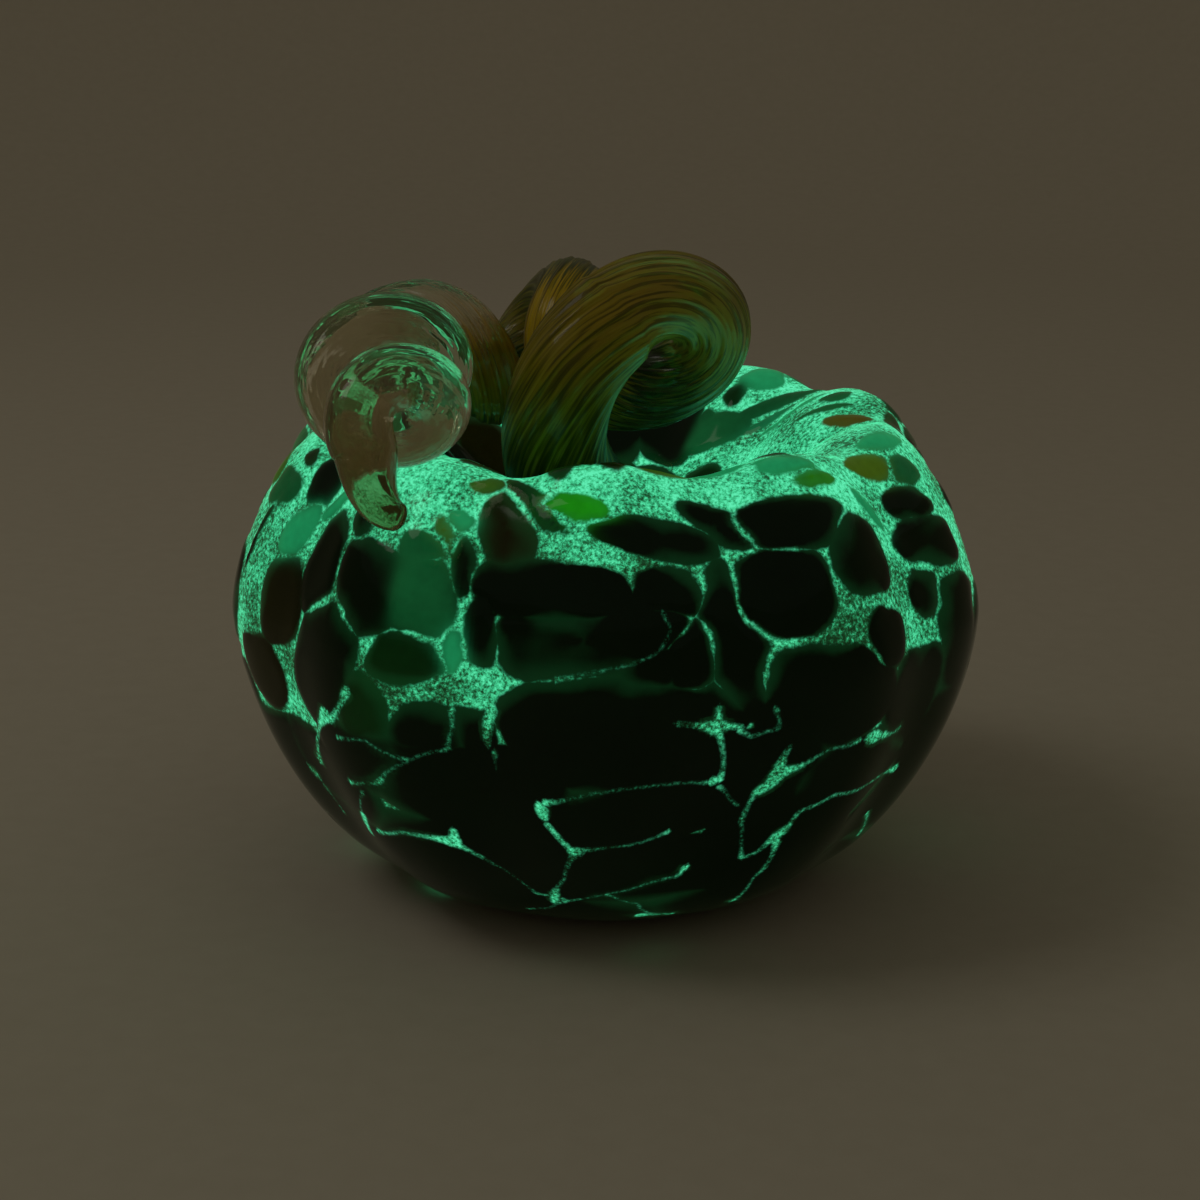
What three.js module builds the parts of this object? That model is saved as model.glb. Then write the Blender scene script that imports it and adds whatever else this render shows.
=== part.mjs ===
import * as THREE from 'three';

// A hand-blown glass pumpkin. A clear hollow bubble with ten ribs is wrapped in a
// thin light-storing layer, dark glass chips lie on that layer, and a solid twisted
// cane with a coloured core is sealed over the blowing hole and wound into a corkscrew.
// Millimetres, +Z up, the front of the pumpkin faces -Y.

const TAU = Math.PI * 2;
const PIECE_GAP = 0.3;

// Outside of the clear bubble
const BODY_RADIUS = 55.3;
const WIDEST_HEIGHT = 44.0;
const CREST_RADIUS = 41.6;
const CREST_HEIGHT = 70.2;
const LOWER_FULLNESS = 1.7;
const UPPER_FULLNESS = 1.45;
const BUBBLE_WALL = 4.0;

// Foot that the pumpkin stands on
const FOOT_RADIUS = 24;
const FOOT_RING_WIDTH = 6;
const FOOT_HOLLOW = 1.6;
const FOOT_HOLLOW_SLOPE = 3;

// Hollow around the stem, and the blowing hole at the bottom of it
const DIMPLE_DEPTH = 22;
const NECK_RADIUS = 9;

// Rows of facets on the bubble: below the widest place, above it, in the dimple, and
// on the inside of the wall, whose rows start and end short of the tight curves
const ROWS_BELOW = 6;
const ROWS_ABOVE = 5;
const ROWS_DIMPLE = 5;
const ROWS_UNDER_DIMPLE = 3;
const ROWS_CAVITY = 4;
const CAVITY_TOP = 1.7;
const CAVITY_BOTTOM = 0.35;
const SLOPE_STEP = 0.02;

// Ribs
const RIB_COUNT = 10;
const RIB_DEPTH = 2.0;
const RIB_SHARPNESS = 1.3;
const RIB_FADE = 0.6;
const RIB_FROM = 0.12;
const RIB_TO = 2.85;
const COLUMNS_PER_RIB = 5;
const COLUMNS = RIB_COUNT * COLUMNS_PER_RIB;

// Light-storing layer
const GLOW_THICKNESS = 0.8;
const GLOW_FIRST_ROW = 1;
const GLOW_ROWS_LEFT_OFF = 2;

// Dark chips
const CHIP_GAP = 0.45;
const CHIP_THICKNESS = 0.9;
const CHIP_SIDES = 10;
const CHIP_ROWS = [
  { at: 1.70, count: 10, shift: 0.5, wide: 18, tall: 7.5 },
  { at: 1.37, count: 10, shift: 0.0, wide: 25, tall: 9.5 },
  { at: 1.01, count: 10, shift: 0.5, wide: 28, tall: 13 },
  { at: 0.70, count: 10, shift: 0.0, wide: 28, tall: 15 },
  { at: 0.41, count: 8, shift: 0.5, wide: 26.5, tall: 13 },
];
const CHIP_SIZE_SPREAD = 0.13;
const CHIP_PLACE_SPREAD = 0.05;
const CHIP_TILT = 0.2;
const CHIP_TWO_WAVE = 0.1;
const CHIP_THREE_WAVE = 0.07;
const CHIP_MIDDLE_RING = 0.55;
const CHIP_TOP_SHARE = 0.94;
const CHIP_SLOPE_STEP = 0.05;
const CHIP_SEED = 530573;
const RANDOM_FACTOR = 16807;
const RANDOM_RANGE = 2147483647;

// Stem: the corkscrew's axis, with one point for each turn at the top of its loop, and
// heights counted from the crest of the bubble
const COIL_AXIS = [
  [12, -43, 12.3],
  [8.7, -8.2, 9.2],
  [-4.7, 10.9, 8.1],
  [-27.8, 1.9, 7.3],
  [-31.0, -25.4, 10.6],
  [-27.8, -44.5, 7.8],
  [-20.5, -54, 8.0],
];
const CURVE_TENSION = 0.5;
const HEADING_STEP = 0.001;
const COIL_START_ANGLE = 305;
const COIL_TURNS = 4.6;
const LOOP_RADIUS_START = 11.1;
const LOOP_RADIUS_END = 6.3;
const LOOP_TAPER = 0.58;
const LOOP_SETTLE = 0.42;
const SETTLE_FADE = 7;
const TIP_FROM = 0.965;
const TIP_REACH = 4.4;
const CANE_RADIUS_START = 7.4;
const CANE_RADIUS_END = 4.4;
const CANE_TAPER = 0.34;
const POINT_FROM = 0.955;
const POINT_RADIUS = 2.0;
const POINT_ROUNDING = 0.6;

// Root of the stem, from the blowing hole up to the first loop
const ROOT_FLARE_RADIUS = 12.5;
const ROOT_FLARE_FALL = 4;
const ROOT_LEVEL_SHARE = 0.45;
const ROOT_JOIN_SHARE = 0.02;
const ROOT_BENDS = [[-4.5, -7.5, -11.2], [-7.5, -13.5, -1.2], [-5.3, -16.8, 9.3]];
const PLUG_GAP = 0.4;
const PLUG_DEPTH = 3.5;

// Cane: twisted flutes outside, coloured core inside
const CANE_SIDES = 14;
const COIL_ROWS = 104;
const ROOT_ROWS = 10;
const FLUTE_DEPTH = 0.04;
const FLUTE_TWIST_TURNS = 2.2;
const CORE_SHARE = 0.4;
const CORE_UNTIL = 0.5;
const CORE_SIDES = 8;

const clearGlass = () => new THREE.MeshStandardMaterial({
  color: 0xc9d0c2, roughness: 0.06, metalness: 0,
});
const glowGlass = () => new THREE.MeshStandardMaterial({
  color: 0x4fc79a, roughness: 0.1, metalness: 0,
});
const darkGlass = () => new THREE.MeshStandardMaterial({
  color: 0x0a140a, roughness: 0.08, metalness: 0,
});
const caneGlass = () => new THREE.MeshStandardMaterial({
  color: 0x9aa07a, roughness: 0.06, metalness: 0,
});
const amberGlass = () => new THREE.MeshStandardMaterial({
  color: 0x6a5a1c, roughness: 0.1, metalness: 0,
});

const smooth = (t) => {
  const s = Math.min(Math.max(t, 0), 1);
  return s * s * (3 - 2 * s);
};

// Closed mesh from rows of points. Each row is a ring with the same number of points,
// or one point where the surface closes on itself.
function skin(rows) {
  const positions = [];
  const triangles = [];
  const starts = rows.map((row) => {
    const start = positions.length / 3;
    row.forEach((p) => positions.push(p.x, p.y, p.z));
    return start;
  });
  for (let i = 0; i + 1 < rows.length; i += 1) {
    const lower = rows[i].length;
    const upper = rows[i + 1].length;
    const sides = Math.max(lower, upper);
    for (let j = 0; j < sides; j += 1) {
      const k = (j + 1) % sides;
      const a = starts[i] + (j % lower);
      const b = starts[i] + (k % lower);
      const c = starts[i + 1] + (j % upper);
      const d = starts[i + 1] + (k % upper);
      if (lower > 1) triangles.push(a, b, d);
      if (upper > 1) triangles.push(a, d, c);
    }
  }
  const geometry = new THREE.BufferGeometry();
  geometry.setAttribute('position', new THREE.Float32BufferAttribute(positions, 3));
  geometry.setIndex(triangles);
  geometry.computeVertexNormals();
  return geometry;
}

const pumpkin = new THREE.Group();
pumpkin.name = 'glass_pumpkin';

function addPiece(name, geometry, material) {
  const mesh = new THREE.Mesh(geometry, material);
  mesh.name = name;
  pumpkin.add(mesh);
}

// Side view of the bubble: 0 to 1 runs from the foot to the widest place, 1 to 2 from
// there up to the crest, 2 to 3 down into the dimple as far as the blowing hole.
function sideView(along) {
  if (along <= 1) {
    const t = along * Math.PI / 2;
    const out = Math.sin(t) ** (2 / LOWER_FULLNESS);
    const up = 1 - Math.max(Math.cos(t), 0) ** (2 / LOWER_FULLNESS);
    return [FOOT_RADIUS + (BODY_RADIUS - FOOT_RADIUS) * out, WIDEST_HEIGHT * up];
  }
  if (along <= 2) {
    const t = (along - 1) * Math.PI / 2;
    const out = Math.max(Math.cos(t), 0) ** (2 / UPPER_FULLNESS);
    const up = Math.sin(t) ** (2 / UPPER_FULLNESS);
    const radius = CREST_RADIUS + (BODY_RADIUS - CREST_RADIUS) * out;
    return [radius, WIDEST_HEIGHT + (CREST_HEIGHT - WIDEST_HEIGHT) * up];
  }
  const into = along - 2;
  const drop = DIMPLE_DEPTH * (1 - Math.cos(Math.PI * into)) / 2;
  return [CREST_RADIUS + (NECK_RADIUS - CREST_RADIUS) * into, CREST_HEIGHT - drop];
}

// How deep the groove between two ribs is pressed in, at a place on the side view.
function grooveDepth(along) {
  const fromFoot = smooth((along - RIB_FROM) / RIB_FADE);
  const toNeck = smooth((RIB_TO - along) / RIB_FADE);
  return RIB_DEPTH * fromFoot * toNeck;
}

// Point on the ribbed surface, lifted off the bubble by `lift`.
function onBody(turn, along, lift) {
  const [r0, z0] = sideView(Math.max(along - SLOPE_STEP, 0));
  const [r1, z1] = sideView(Math.min(along + SLOPE_STEP, 3));
  const length = Math.hypot(r1 - r0, z1 - z0);
  const [radius, height] = sideView(along);
  const groove = ((1 - Math.cos(RIB_COUNT * turn)) / 2) ** RIB_SHARPNESS;
  const shift = lift - grooveDepth(along) * groove;
  const r = radius + shift * (z1 - z0) / length;
  const z = height - shift * (r1 - r0) / length;
  return new THREE.Vector3(r * Math.sin(turn), -r * Math.cos(turn), z);
}

const ring = (along, lift) => Array.from(
  { length: COLUMNS },
  (_, j) => onBody(TAU * j / COLUMNS, along, lift),
);
const flatRing = (radius, height) => Array.from({ length: COLUMNS }, (_, j) => {
  const turn = TAU * j / COLUMNS;
  return new THREE.Vector3(radius * Math.sin(turn), -radius * Math.cos(turn), height);
});
const stops = (from, to, count) => Array.from(
  { length: count + 1 },
  (_, i) => from + (to - from) * i / count,
);

// The stem's flare rests on a row of its own, between the dimple's side and the hole
const flareStop = 2 + (CREST_RADIUS - ROOT_FLARE_RADIUS) / (CREST_RADIUS - NECK_RADIUS);
const bodyStops = [
  ...stops(0, 1, ROWS_BELOW),
  ...stops(1, 2, ROWS_ABOVE).slice(1),
  ...stops(2, flareStop, ROWS_DIMPLE).slice(1),
  3,
];

// Clear bubble, with its flat foot ring and its open neck
const insideStops = [
  ...stops(3, 2, ROWS_UNDER_DIMPLE),
  ...stops(CAVITY_TOP, CAVITY_BOTTOM, ROWS_CAVITY),
];
const bubbleRows = [
  [new THREE.Vector3(0, 0, FOOT_HOLLOW)],
  flatRing(FOOT_RADIUS - FOOT_RING_WIDTH - FOOT_HOLLOW_SLOPE, FOOT_HOLLOW),
  flatRing(FOOT_RADIUS - FOOT_RING_WIDTH, 0),
  ...bodyStops.map((along) => ring(along, 0)),
  ...insideStops.map((along) => ring(along, -BUBBLE_WALL)),
  [new THREE.Vector3(0, 0, FOOT_HOLLOW + BUBBLE_WALL)],
];
addPiece('bubble', skin(bubbleRows), clearGlass());

// Light-storing layer over the bubble, from just above the foot to the stem's foot
const glowStops = bodyStops.slice(GLOW_FIRST_ROW, bodyStops.length - GLOW_ROWS_LEFT_OFF);
const glowInside = PIECE_GAP;
const glowOutside = glowInside + GLOW_THICKNESS;
const glowRows = [
  ...glowStops.map((along) => ring(along, glowOutside)),
  ...glowStops.slice().reverse().map((along) => ring(along, glowInside)),
];
glowRows.push(glowRows[0]);
addPiece('glow_layer', skin(glowRows), glowGlass());

// Dark chips, each a thin plate of irregular outline bent to the body
let chance = CHIP_SEED;
function random() {
  chance = (chance * RANDOM_FACTOR) % RANDOM_RANGE;
  return chance / RANDOM_RANGE;
}
const spread = (amount) => 1 + amount * (2 * random() - 1);

function chipGeometry(turn, along, wide, tall) {
  const waves = [random() * TAU, random() * TAU];
  const tilt = CHIP_TILT * (2 * random() - 1);
  const [r0, z0] = sideView(along - CHIP_SLOPE_STEP);
  const [r1, z1] = sideView(along + CHIP_SLOPE_STEP);
  const perUnit = Math.hypot(r1 - r0, z1 - z0) / (2 * CHIP_SLOPE_STEP);
  const radius = sideView(along)[0];
  const place = (share, angle, lift) => {
    const wavy = 1 + CHIP_TWO_WAVE * Math.cos(2 * angle + waves[0])
      + CHIP_THREE_WAVE * Math.cos(3 * angle + waves[1]);
    const x = share * wavy * wide / 2 * Math.cos(angle);
    const y = share * wavy * tall / 2 * Math.sin(angle) + tilt * x * tall / wide;
    return onBody(turn + x / radius, along + y / perUnit, lift);
  };
  const under = glowOutside + CHIP_GAP;
  const outline = (share, lift) => Array.from(
    { length: CHIP_SIDES },
    (_, j) => place(share, TAU * j / CHIP_SIDES, lift),
  );
  return skin([
    [place(0, 0, under)],
    outline(CHIP_MIDDLE_RING, under),
    outline(1, under),
    outline(CHIP_TOP_SHARE, under + CHIP_THICKNESS),
    outline(CHIP_TOP_SHARE * CHIP_MIDDLE_RING, under + CHIP_THICKNESS),
    [place(0, 0, under + CHIP_THICKNESS)],
  ]);
}

let chipNumber = 0;
CHIP_ROWS.forEach(({ at, count, shift, wide, tall }) => {
  for (let i = 0; i < count; i += 1) {
    chipNumber += 1;
    const turn = TAU * (i + shift + CHIP_PLACE_SPREAD * (2 * random() - 1)) / count;
    const chipWide = wide * spread(CHIP_SIZE_SPREAD);
    const chipTall = tall * spread(CHIP_SIZE_SPREAD);
    const geometry = chipGeometry(turn, at, chipWide, chipTall);
    addPiece(`dark_chip_${String(chipNumber).padStart(2, '0')}`, geometry, darkGlass());
  }
});

// Centre line of the corkscrew and the cane's radius, for a share of its length
const overCrest = ([x, y, above]) => new THREE.Vector3(x, y, CREST_HEIGHT + above);
const axisCurve = new THREE.CatmullRomCurve3(
  COIL_AXIS.map(overCrest), false, 'catmullrom', CURVE_TENSION,
);
function coilPoint(share) {
  const degrees = COIL_START_ANGLE + 360 * COIL_TURNS * share;
  const at = degrees / 360 / (COIL_AXIS.length - 1);
  const before = axisCurve.getPoint(at - HEADING_STEP);
  const heading = axisCurve.getPoint(at + HEADING_STEP).sub(before).normalize();
  const side = new THREE.Vector3().crossVectors(heading, new THREE.Vector3(0, 0, 1)).normalize();
  const up = new THREE.Vector3().crossVectors(side, heading);
  const opening = smooth((share - TIP_FROM) / (1 - TIP_FROM));
  const loop = LOOP_RADIUS_START
    + (LOOP_RADIUS_END - LOOP_RADIUS_START) * share ** LOOP_TAPER + TIP_REACH * opening;
  const angle = degrees * Math.PI / 180;
  const settle = LOOP_SETTLE * (1 - share ** SETTLE_FADE) * (1 - Math.cos(angle)) / 2;
  return axisCurve.getPoint(at)
    .addScaledVector(up, loop * (Math.cos(angle) + settle))
    .addScaledVector(side, loop * Math.sin(angle));
}
function caneRadius(share) {
  const plain = CANE_RADIUS_START + (CANE_RADIUS_END - CANE_RADIUS_START) * share ** CANE_TAPER;
  const point = Math.max(share - POINT_FROM, 0) / (1 - POINT_FROM);
  return plain * (1 - point ** 2 * (1 - POINT_RADIUS / CANE_RADIUS_END));
}

// The root rises from the blowing hole and runs into the first loop
const flareHeight = sideView(flareStop)[1] + PIECE_GAP;
const rootCurve = new THREE.CatmullRomCurve3([
  new THREE.Vector3(0, 0, flareHeight - ROOT_FLARE_RADIUS),
  new THREE.Vector3(0, 0, flareHeight),
  ...ROOT_BENDS.map(overCrest),
  coilPoint(0),
  coilPoint(ROOT_JOIN_SHARE),
], false, 'catmullrom', CURVE_TENSION);
const line = [];
for (let i = 0; i < ROOT_ROWS; i += 1) {
  const share = i / ROOT_ROWS;
  const flare = (1 - share) ** ROOT_FLARE_FALL;
  const radius = CANE_RADIUS_START + (ROOT_FLARE_RADIUS - CANE_RADIUS_START) * flare;
  const place = (1 + (ROOT_BENDS.length + 1) * share) / (ROOT_BENDS.length + 3);
  line.push({ at: rootCurve.getPoint(place), radius });
}
for (let i = 0; i <= COIL_ROWS; i += 1) {
  line.push({ at: coilPoint(i / COIL_ROWS), radius: caneRadius(i / COIL_ROWS) });
}

// Frames that follow the line without turning about it. At the flare they lie level on
// the bubble, and lean over with the cane as it leaves the dimple.
line.forEach((row, i) => {
  const before = line[Math.max(i - 1, 0)].at;
  const after = line[Math.min(i + 1, line.length - 1)].at;
  const lean = smooth(i / ROOT_ROWS / ROOT_LEVEL_SHARE);
  row.heading = new THREE.Vector3(0, 0, 1)
    .lerp(after.clone().sub(before).normalize(), lean)
    .normalize();
  const carried = i === 0 ? new THREE.Vector3(0, -1, 0) : line[i - 1].first.clone();
  row.first = carried.addScaledVector(row.heading, -carried.dot(row.heading)).normalize();
  row.second = new THREE.Vector3().crossVectors(row.heading, row.first);
});

function crossSection(row, radius, sides, fluteDepth, twist) {
  return Array.from({ length: sides }, (_, j) => {
    const angle = TAU * j / sides;
    const r = radius * (1 + fluteDepth * (j % 2 === 0 ? 1 : -1));
    return row.at.clone()
      .addScaledVector(row.first, r * Math.cos(angle + twist))
      .addScaledVector(row.second, r * Math.sin(angle + twist));
  });
}

const plugRadius = NECK_RADIUS - PLUG_GAP;
const coreRows = Math.round((line.length - 1) * CORE_UNTIL);
const coreRadius = (row) => Math.min(row.radius, CANE_RADIUS_START) * CORE_SHARE;
const twistAt = (i) => FLUTE_TWIST_TURNS * TAU * i / line.length;
const last = line[line.length - 1];
const caneRows = [
  [last.at.clone().addScaledVector(last.heading, last.radius * POINT_ROUNDING)],
  ...line.map((row, i) => {
    const depth = FLUTE_DEPTH * Math.min(i / ROOT_ROWS, 1);
    return crossSection(row, row.radius, CANE_SIDES, depth, twistAt(i));
  }).reverse(),
];
const plugTop = { ...line[0], at: new THREE.Vector3(0, 0, flareHeight) };
const plugEnd = { ...line[0], at: new THREE.Vector3(0, 0, flareHeight - PLUG_DEPTH) };
caneRows.push(crossSection(plugTop, plugRadius, CANE_SIDES, 0, 0));
caneRows.push(crossSection(plugEnd, plugRadius, CANE_SIDES, 0, 0));
caneRows.push(crossSection(plugEnd, coreRadius(line[0]) + PIECE_GAP, CANE_SIDES, 0, 0));
line.slice(0, coreRows).forEach((row) => {
  caneRows.push(crossSection(row, coreRadius(row) + PIECE_GAP, CANE_SIDES, 0, 0));
});
caneRows.push([line[coreRows].at.clone()]);
caneRows.reverse();
addPiece('stem_cane', skin(caneRows), caneGlass());

// Coloured core in the cane, from the plug's end through the first loops
const coreEnd = line[coreRows - 2];
const corePieces = [
  [plugEnd.at.clone()],
  crossSection(plugEnd, coreRadius(line[0]), CORE_SIDES, 0, 0),
  ...line.slice(0, coreRows - 1).map((row) => crossSection(row, coreRadius(row), CORE_SIDES, 0, 0)),
  [coreEnd.at.clone().addScaledVector(coreEnd.heading, PIECE_GAP)],
];
addPiece('stem_core', skin(corePieces), amberGlass());

// Least gap between one turn of the cane and the next
let leastGap = Infinity;
line.forEach((row, i) => {
  let walked = 0;
  for (let k = i + 1; k < line.length; k += 1) {
    walked += line[k].at.distanceTo(line[k - 1].at);
    const reach = (row.radius + line[k].radius) * (1 + FLUTE_DEPTH);
    if (walked > Math.PI * reach / 2) {
      leastGap = Math.min(leastGap, row.at.distanceTo(line[k].at) - reach);
    }
  }
});
console.log(`Least gap of the stem to itself: ${leastGap.toFixed(2)} mm`);

export default pumpkin;
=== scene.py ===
import math

import bpy
import numpy as np
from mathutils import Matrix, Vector


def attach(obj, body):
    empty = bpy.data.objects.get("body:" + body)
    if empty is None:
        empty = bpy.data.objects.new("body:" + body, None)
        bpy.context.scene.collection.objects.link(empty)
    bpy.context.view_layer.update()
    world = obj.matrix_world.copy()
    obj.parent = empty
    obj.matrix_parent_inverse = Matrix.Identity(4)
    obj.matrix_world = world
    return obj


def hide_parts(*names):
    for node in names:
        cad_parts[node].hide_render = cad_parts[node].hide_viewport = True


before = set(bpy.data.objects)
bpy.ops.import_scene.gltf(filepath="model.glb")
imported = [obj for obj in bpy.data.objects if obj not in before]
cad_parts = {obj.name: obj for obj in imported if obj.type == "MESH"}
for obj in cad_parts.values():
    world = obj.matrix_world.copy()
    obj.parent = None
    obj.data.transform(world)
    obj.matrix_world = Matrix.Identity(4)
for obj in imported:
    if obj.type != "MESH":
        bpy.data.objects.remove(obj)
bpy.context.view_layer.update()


# The bubble: the blown body of the pumpkin, clear glass about 4 mm thick, ribbed in an
# optic mould and pushed in at the top. It is hollow, with a ground foot ring below and the
# blowing hole at the bottom of the dimple. Only its foot shows.
BODY_RADIUS = 55.3
WIDEST_HEIGHT = 44.0
CREST_RADIUS = 41.6
CREST_HEIGHT = 70.2
LOWER_FULLNESS = 1.7
UPPER_FULLNESS = 1.45
BUBBLE_WALL = 4.0
FOOT_RADIUS = 24.0
FOOT_RING_WIDTH = 6.0
FOOT_HOLLOW = 1.6
FOOT_HOLLOW_SLOPE = 3.0
DIMPLE_DEPTH = 22.0
NECK_RADIUS = 9.0
RIB_COUNT = 10
RIB_DEPTH = 2.0
RIB_SHARPNESS = 1.3
RIB_FADE = 0.6
RIB_FROM = 0.12
RIB_TO = 2.85
BUBBLE_COLUMNS = 200
BUBBLE_ROWS = 100
NECK_ROWS = 14
INSIDE_ROWS = 24
INSIDE_TOP = 1.7
INSIDE_BOTTOM = 0.35
GLASS_IOR = 1.5
CLEAR_GLASS = (0.86, 0.90, 0.84, 1)
GROUND_GLASS = (0.62, 0.66, 0.60, 1)
GROUND_UP_TO = 0.0002
CLEAR_FROM = 0.0009
NORMAL_STEP = 0.02
WALK_STEPS = 4000
MM = 0.001


def smooth(t):
    """Rises from 0 to 1 as t goes from 0 to 1, level at both ends."""
    s = np.clip(t, 0.0, 1.0)
    return s * s * (3 - 2 * s)


def side_view(along):
    """Radius and height of the body's outline: a quarter of a rounded box from the foot (0) to
    the widest place (1), another up to the crest (2), half a cosine wave down to the neck (3)."""
    along = np.asarray(along, float)
    low = np.clip(along, 0, 1) * math.pi / 2
    high = np.clip(along - 1, 0, 1) * math.pi / 2
    into = np.clip(along - 2, 0, 1)
    low_r = FOOT_RADIUS + (BODY_RADIUS - FOOT_RADIUS) * np.sin(low) ** (2 / LOWER_FULLNESS)
    low_z = WIDEST_HEIGHT * (1 - np.clip(np.cos(low), 0, 1) ** (2 / LOWER_FULLNESS))
    high_out = np.clip(np.cos(high), 0, 1) ** (2 / UPPER_FULLNESS)
    high_r = CREST_RADIUS + (BODY_RADIUS - CREST_RADIUS) * high_out
    high_z = WIDEST_HEIGHT + (CREST_HEIGHT - WIDEST_HEIGHT) * np.sin(high) ** (2 / UPPER_FULLNESS)
    in_r = CREST_RADIUS + (NECK_RADIUS - CREST_RADIUS) * into
    in_z = CREST_HEIGHT - DIMPLE_DEPTH * (1 - np.cos(math.pi * into)) / 2
    radius = np.where(along <= 1, low_r, np.where(along <= 2, high_r, in_r))
    height = np.where(along <= 1, low_z, np.where(along <= 2, high_z, in_z))
    return radius, height


def on_body(turn, along, lift):
    """Points on the ribbed body: the side view moved out along its own normal by the lift, less
    the groove, which is a raised cosine of the turn and fades out at the foot and the neck."""
    r0, z0 = side_view(np.maximum(along - NORMAL_STEP, 0))
    r1, z1 = side_view(np.minimum(along + NORMAL_STEP, 3))
    length = np.hypot(r1 - r0, z1 - z0)
    radius, height = side_view(along)
    fade = smooth((along - RIB_FROM) / RIB_FADE) * smooth((RIB_TO - along) / RIB_FADE)
    groove = ((1 - np.cos(RIB_COUNT * turn)) / 2) ** RIB_SHARPNESS
    shift = lift - RIB_DEPTH * fade * groove
    r = radius + shift * (z1 - z0) / length
    z = height - shift * (r1 - r0) / length
    return np.stack([r * np.sin(turn), -r * np.cos(turn), z], axis=-1)


def walk_up(start, end, rows):
    """Places on the side view from start to end, at equal steps along the outline."""
    fine = np.linspace(start, end, WALK_STEPS)
    r, z = side_view(fine)
    walked = np.concatenate([[0], np.cumsum(np.hypot(np.diff(r), np.diff(z)))])
    return np.interp(np.linspace(0, walked[-1], rows), walked, fine)


def flat_rings(radii, heights, columns):
    """Level circles with these radii and heights, as rows of points."""
    turn = np.linspace(0, 2 * math.pi, columns, endpoint=False)
    r = np.asarray(radii, float)[:, None]
    z = np.asarray(heights, float)[:, None] + 0 * turn
    return np.stack([r * np.sin(turn), -r * np.cos(turn), z], axis=-1)


def lay_rows(name, rows, bottom=None, top=None, joined=False):
    """Mesh object from a grid of points in mm, (rows, columns, 3). Columns close round into rings.
    A bottom or top point closes an end by a fan, and joined links the last row to the first."""
    count, columns = rows.shape[:2]
    points = rows.reshape(-1, 3)
    index = np.arange(count * columns).reshape(count, columns)
    ring = np.vstack([index, index[:1]]) if joined else index
    right = np.roll(ring, -1, axis=1)
    quads = np.stack([ring[:-1], right[:-1], right[1:], ring[1:]], axis=-1).reshape(-1, 4)
    fans = np.zeros((0, 3), int)
    for end, pole in ((index[0], bottom), (index[-1], top)):
        if pole is not None:
            centre = np.full(columns, len(points))
            points = np.vstack([points, [pole]])
            near, far = (end, np.roll(end, -1)) if pole is top else (np.roll(end, -1), end)
            fans = np.vstack([fans, np.stack([near, far, centre], axis=-1)])
    mesh = bpy.data.meshes.new(name)
    mesh.vertices.add(len(points))
    mesh.vertices.foreach_set("co", (points * MM).astype(np.float32).ravel())
    corners = np.concatenate([quads.ravel(), fans.ravel()]).astype(np.int32)
    mesh.loops.add(len(corners))
    mesh.loops.foreach_set("vertex_index", corners)
    starts = np.concatenate([np.arange(len(quads)) * 4, len(quads) * 4 + np.arange(len(fans)) * 3])
    mesh.polygons.add(len(starts))
    mesh.polygons.foreach_set("loop_start", starts.astype(np.int32))
    mesh.update(calc_edges=True)
    mesh.validate()
    mesh.shade_smooth()
    piece = bpy.data.objects.new(name, mesh)
    bpy.context.scene.collection.objects.link(piece)
    return piece


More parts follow.
